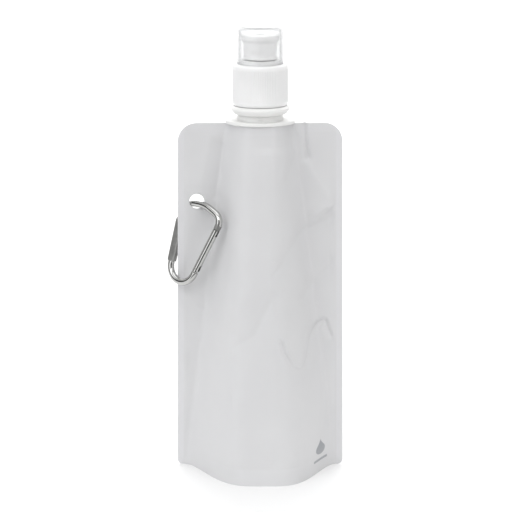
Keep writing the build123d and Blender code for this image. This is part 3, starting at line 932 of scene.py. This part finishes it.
def rounded_path(corners, radii, step=5.0):
    """Points along a path with its inner corners rounded, step degrees apart on the arcs."""
    points = [Vector(corners[0])]
    for before, corner, after, radius in zip(corners, corners[1:], corners[2:], radii):
        corner = Vector(corner)
        back = (Vector(before) - corner).normalized()
        ahead = (Vector(after) - corner).normalized()
        half = back.angle(ahead) / 2
        start = corner + back * radius / math.tan(half)
        centre = corner + (back + ahead).normalized() * radius / math.sin(half)
        sweep = math.pi - 2 * half
        side = 1 if back.cross(ahead) < 0 else -1
        count = max(3, math.ceil(math.degrees(sweep) / step))
        for index in range(count + 1):
            points.append(centre + Matrix.Rotation(side * sweep * index / count, 2) @ (start - centre))
    points.append(Vector(corners[-1]))
    return points


def arc(centre, radius, start, sweep, count):
    angles = [math.radians(start + sweep * index / count) for index in range(count + 1)]
    return [centre + Vector((math.cos(angle), math.sin(angle))) * radius for angle in angles]


LEAN = math.radians(18)
SPINE_TOP = -10.8
SPINE_FOOT = -36.2
FOOT_RADIUS = 8.8
GATE_WAY = Vector((math.sin(LEAN), math.cos(LEAN)))
FOOT = Vector((FOOT_RADIUS, SPINE_FOOT))
FOOT_END = FOOT + Vector((GATE_WAY.y, -GATE_WAY.x)) * FOOT_RADIUS
PIN = FOOT_END + GATE_WAY * 3.8
NOSE_END = PIN + GATE_WAY * 24.95
HOOK = Matrix.Translation(CROWN) @ hook_plane() @ Matrix.Scale(MM, 4)
print("gate pin at", [round(value / MM, 2) for value in HOOK @ Vector((*PIN, 0))])

# %% [markdown]
# The rod is a stack of closed loops along the line, bridged into a skin. On the spine the round
# section is pressed into a flatter, wider one, and a blend carries one shape into the other over
# two millimetres, with the small step that the press tool leaves.

# %% Rod of the hook
def section(share, count=28):
    """Round section at share 0, the pressed section at share 1."""
    points = []
    for index in range(count):
        angle = 2 * math.pi * index / count
        power = 1 - 0.55 * share
        cosine, sine = math.cos(angle), math.sin(angle)
        wide = WIRE + share * 0.65
        thick = WIRE - share * 0.5
        points.append((
            math.copysign(abs(cosine) ** power, cosine) * wide,
            math.copysign(abs(sine) ** power, sine) * thick,
        ))
    return points


def bridge_sections(bm, places, sections):
    """Bridged loops along flat points; sections are (across, out) points, in millimetres."""
    rings = []
    for index, (place, shape) in enumerate(zip(places, sections)):
        before = places[max(index - 1, 0)]
        after = places[min(index + 1, len(places) - 1)]
        way = (after - before).normalized()
        across = Vector((way.y, -way.x))
        made = bmesh.ops.create_circle(bm, segments=len(shape), radius=1.0, cap_ends=False)
        for vert, (a, b) in zip(made["verts"], shape):
            spot = place + across * a
            vert.co = (spot.x, spot.y, b)
        rings.append(list({edge for vert in made["verts"] for edge in vert.link_edges}))
    for lower, upper in zip(rings, rings[1:]):
        bmesh.ops.bridge_loops(bm, edges=lower + upper)
    for ring in (rings[0], rings[-1]):
        bmesh.ops.edgeloop_fill(bm, edges=ring)


def hook_rod():
    bm = bmesh.new()
    crown = rounded_path([NOSE_END, NOSE_END + GATE_WAY * 1.5, (27.6, -5.2), (15.3, -0.75),
                          (0, -1.9), (0, SPINE_TOP)], [2.0, 5.5, 18.0, 9.0])
    spine = [Vector((0, SPINE_TOP - step)) for step in (0.5, 1.0, 1.5, 2.0, 5, 9, 13, 17, 21)]
    spine += [Vector((0, SPINE_FOOT + step)) for step in (1.2, 1.0, 0.7, 0.4)]
    foot = arc(FOOT, FOOT_RADIUS, 180, 162, 36) + [PIN - GATE_WAY * 2.3]
    shares = [0] * (len(crown) - 1) + [0.0, 0.2, 0.5, 0.8, 1.0] + [1.0] * 6 + [0.9, 0.4, 0.05]
    places = crown + spine + foot
    shares += [0] * (len(places) - len(shares))
    bridge_sections(bm, places, [section(share) for share in shares])
    rounded = bmesh.ops.bevel(
        bm, geom=[edge for edge in bm.edges if edge.calc_face_angle(0) > 1.2], offset=0.25,
        segments=3, profile=0.5, affect="EDGES", material=-1)
    print("rod ends rounded with", len(rounded["faces"]), "faces")
    for centre, size in ((PIN - GATE_WAY * 1.65, (3.3, 2.4)), (NOSE_END - GATE_WAY * 0.8, (4.2, 2.4))):
        made = bmesh.ops.create_cube(bm, size=1.0)
        bmesh.ops.scale(bm, verts=made["verts"], vec=(size[1], size[0], 1.3))
        bmesh.ops.rotate(bm, verts=made["verts"], cent=(0, 0, 0), matrix=Matrix.Rotation(-LEAN, 3, "Z"))
        bmesh.ops.translate(bm, verts=made["verts"], vec=(centre.x, centre.y, 0))
    for face in bm.faces:
        spot = face.calc_center_median()
        on_spine = abs(spot.x) < 3.2 and SPINE_FOOT + 0.6 < spot.y < SPINE_TOP - 1.6
        on_nose = (spot.xy - NOSE_END).length < 3.2
        face.material_index = 1 if on_spine or on_nose else 0
    bmesh.ops.transform(bm, matrix=HOOK, verts=bm.verts)
    bmesh.ops.recalc_face_normals(bm, faces=bm.faces)
    piece = finish_piece("hook_rod", bm, NICKEL, "carabiner", ["carabiner_body"])
    piece.data.materials.append(PRESSED)


hook_rod()

# %% [markdown]
# A maker prints a small grey mark low on the right-hand side. Here it is a plain water drop over
# a short bar: a disc bent to a drop, inset into rings and laid on the film, a hair proud of it.

# %% Printed mark
def front_surface(x, z):
    spot = np.array(x), np.array(z)
    rise = stand_out(*spot, -1) + weld_relief(*spot)
    return float(middle_sway(*spot) - FILM - rise)


def lay_on_film(bm, lift=0.03):
    for vert in bm.verts:
        vert.co.y = front_surface(vert.co.x, vert.co.z) - lift * MM


MARK_X = 33.6
DROP_Z = 12.2
BAR_Z = 6.6


def printed_mark():
    bm = bmesh.new()
    made = bmesh.ops.create_circle(bm, segments=48, radius=1.0, cap_ends=True)
    for vert in made["verts"]:
        angle = math.atan2(vert.co.y, vert.co.x)
        point = max(0.0, math.sin(angle)) ** 6
        vert.co = ((MARK_X + 2.6 * math.cos(angle) * (1 - point)) * MM, 0,
                   (DROP_Z + 2.7 * math.sin(angle) + 3.0 * point) * MM)
    bar = bmesh.ops.create_grid(bm, x_segments=14, y_segments=3, size=0.5)["verts"]
    for vert in bar:
        vert.co = ((MARK_X + vert.co.x * 7.6) * MM, 0, (BAR_Z + vert.co.y * 1.3) * MM)
    for ring_width in (0.6, 0.6, 0.6):
        cap = [face for face in bm.faces if len(face.verts) > 8]
        bmesh.ops.inset_region(bm, faces=cap, thickness=ring_width * MM, use_even_offset=True)
    lay_on_film(bm)
    bm.normal_update()
    bmesh.ops.reverse_faces(bm, faces=[face for face in bm.faces if face.normal.y > 0])
    finish_piece("printed_mark", bm, INK_FINISH, "pouch")


printed_mark()

# %% [markdown]
# On the neck's front, just over the flange, the moulding carries a tiny raised arrow that shows
# the filler machine which way round the spout sits.

# %% Arrow on the neck
def neck_arrow():
    bm = bmesh.new()
    for side in (-1, 1):
        verts = solid_bar(bm, (1.5, 0.6, 0.35), (0, 0, 0), 0.0, 0.08)
        turn = Matrix.Rotation(side * math.radians(-42), 3, "Y")
        bmesh.ops.rotate(bm, verts=verts, cent=(0, 0, 0), matrix=turn)
        bmesh.ops.translate(bm, verts=verts, vec=(side * 0.5 * MM, -12.4 * MM, (FLANGE_LOW + 3.3) * MM))
    finish_piece("neck_arrow", bm, SPOUT_FINISH, "pouch")


neck_arrow()

# %% [markdown]
# The gate, its rivet, its plunger and its spring are small and stay as the model has them; they
# only take their metals.

# %% Metals on the small hook parts
for node, finish in (("carabiner_gate", NICKEL), ("gate_hinge_pin", PRESSED), ("gate_plunger", STEEL),
                     ("gate_spring", STEEL)):
    for item in bpy.data.objects:
        if item.type == "MESH" and item.name.startswith(node):
            item.data.materials.clear()
            item.data.materials.append(finish)
            print(item.name, "takes", finish.name)

# %% [markdown]
# The bottle stands on a plain pale floor. The light is soft: a window on the left, a weaker panel
# on the right, one from above and one from the front, and a wash that keeps the floor behind
# bright. Bright metal shows whatever it faces, so three dark boards give the hook its black
# streaks. The camera sees none of them, but from behind and from the side they do show: two
# stand, and floor_board lies on the floor in front. Without them the hook is evenly light.

# %% Stage
def stage_floor():
    bm = bmesh.new()
    bmesh.ops.create_grid(bm, x_segments=1, y_segments=1, size=3.0)
    mesh = bpy.data.meshes.new("floor")
    bm.to_mesh(mesh)
    bm.free()
    floor = bpy.data.objects.new("floor", mesh)
    bpy.context.collection.objects.link(floor)
    material, tree, shader = principled("pale_floor", Roughness=0.7)
    add_colour_drift(tree, shader, (0.93, 0.93, 0.93), (0.95, 0.95, 0.95), 3.0)
    mesh.materials.append(material)


def soft_light(name, place, target, size, power, colour=(1, 1, 1)):
    data = bpy.data.lights.new(name, "AREA")
    data.shape = "RECTANGLE"
    data.size, data.size_y = size
    data.energy = power
    data.color = colour
    lamp = bpy.data.objects.new(name, data)
    bpy.context.collection.objects.link(lamp)
    lamp.location = place
    lamp.rotation_euler = (Vector(target) - Vector(place)).to_track_quat("-Z", "Y").to_euler()
    print(name, power, "W")


stage_floor()
soft_light("window_left", (-0.95, -0.95, 0.55), (0, 0, 0.12), (1.3, 1.4), 5.3, (0.975, 0.985, 1.0))
soft_light("panel_right", (0.85, -1.1, 0.5), (0, 0, 0.12), (0.5, 0.9), 1.1, (1.0, 0.995, 0.98))
soft_light("sky_top", (0, -0.1, 1.3), (0, 0, 0.1), (1.0, 1.0), 3.6)
soft_light("front_high", (-0.15, -1.15, 1.05), (0, 0, 0.12), (1.4, 0.5), 4.3)
soft_light("floor_wash", (0, 2.4, 1.6), (0, 1.9, 0), (3.4, 2.0), 60.0)


def dark_board(name, place, size, tilt=90.0, turn=0.0):
    bm = bmesh.new()
    bmesh.ops.create_grid(bm, x_segments=1, y_segments=1, size=0.5)
    bmesh.ops.scale(bm, verts=bm.verts, vec=(size[0], size[1], 1))
    bmesh.ops.rotate(bm, verts=bm.verts, matrix=Matrix.Rotation(math.radians(tilt), 3, "X"))
    bmesh.ops.rotate(bm, verts=bm.verts, matrix=Matrix.Rotation(math.radians(turn), 3, "Z"))
    bmesh.ops.translate(bm, verts=bm.verts, vec=place)
    mesh = bpy.data.meshes.new(name)
    bm.to_mesh(mesh)
    bm.free()
    board = bpy.data.objects.new(name, mesh)
    bpy.context.collection.objects.link(board)
    material, tree, shader = principled(name, Roughness=0.9)
    add_colour_drift(tree, shader, (0.02, 0.02, 0.02), (0.03, 0.03, 0.03), 3.0)
    mesh.materials.append(material)
    print(name, "at", place)


dark_board("camera_board", (0.05, -1.35, 0.4), (1.1, 1.0))
dark_board("left_board", (-1.25, -0.3, 0.45), (0.7, 0.7), turn=75.0)
dark_board("floor_board", (-0.1, -0.45, 0.003), (0.5, 0.42), tilt=0.0)

world = bpy.data.worlds.new("studio")
bpy.context.scene.world = world
world.use_nodes = True
sky = world.node_tree.nodes["Background"]
sky.inputs["Color"].default_value = (1, 1, 1, 1)
sky.inputs["Strength"].default_value = 0.7
bpy.context.scene.view_settings.view_transform = "Standard"

# %% [markdown]
# The camera looks slightly down through a long lens, so that the pouch stays upright and the
# ellipses of the cap stay narrow.

# %% Camera
camera_data = bpy.data.cameras.new("camera")
camera = bpy.data.objects.new("camera", camera_data)
bpy.context.collection.objects.link(camera)
camera_data.sensor_width = 36.0
camera_data.lens = 125.5
camera.location = (-2.24 * MM, -0.95, 0.3458)
camera.rotation_euler = (math.radians(90 - 13.37), 0, 0)
bpy.context.scene.camera = camera
print("camera lens", camera_data.lens, "mm")
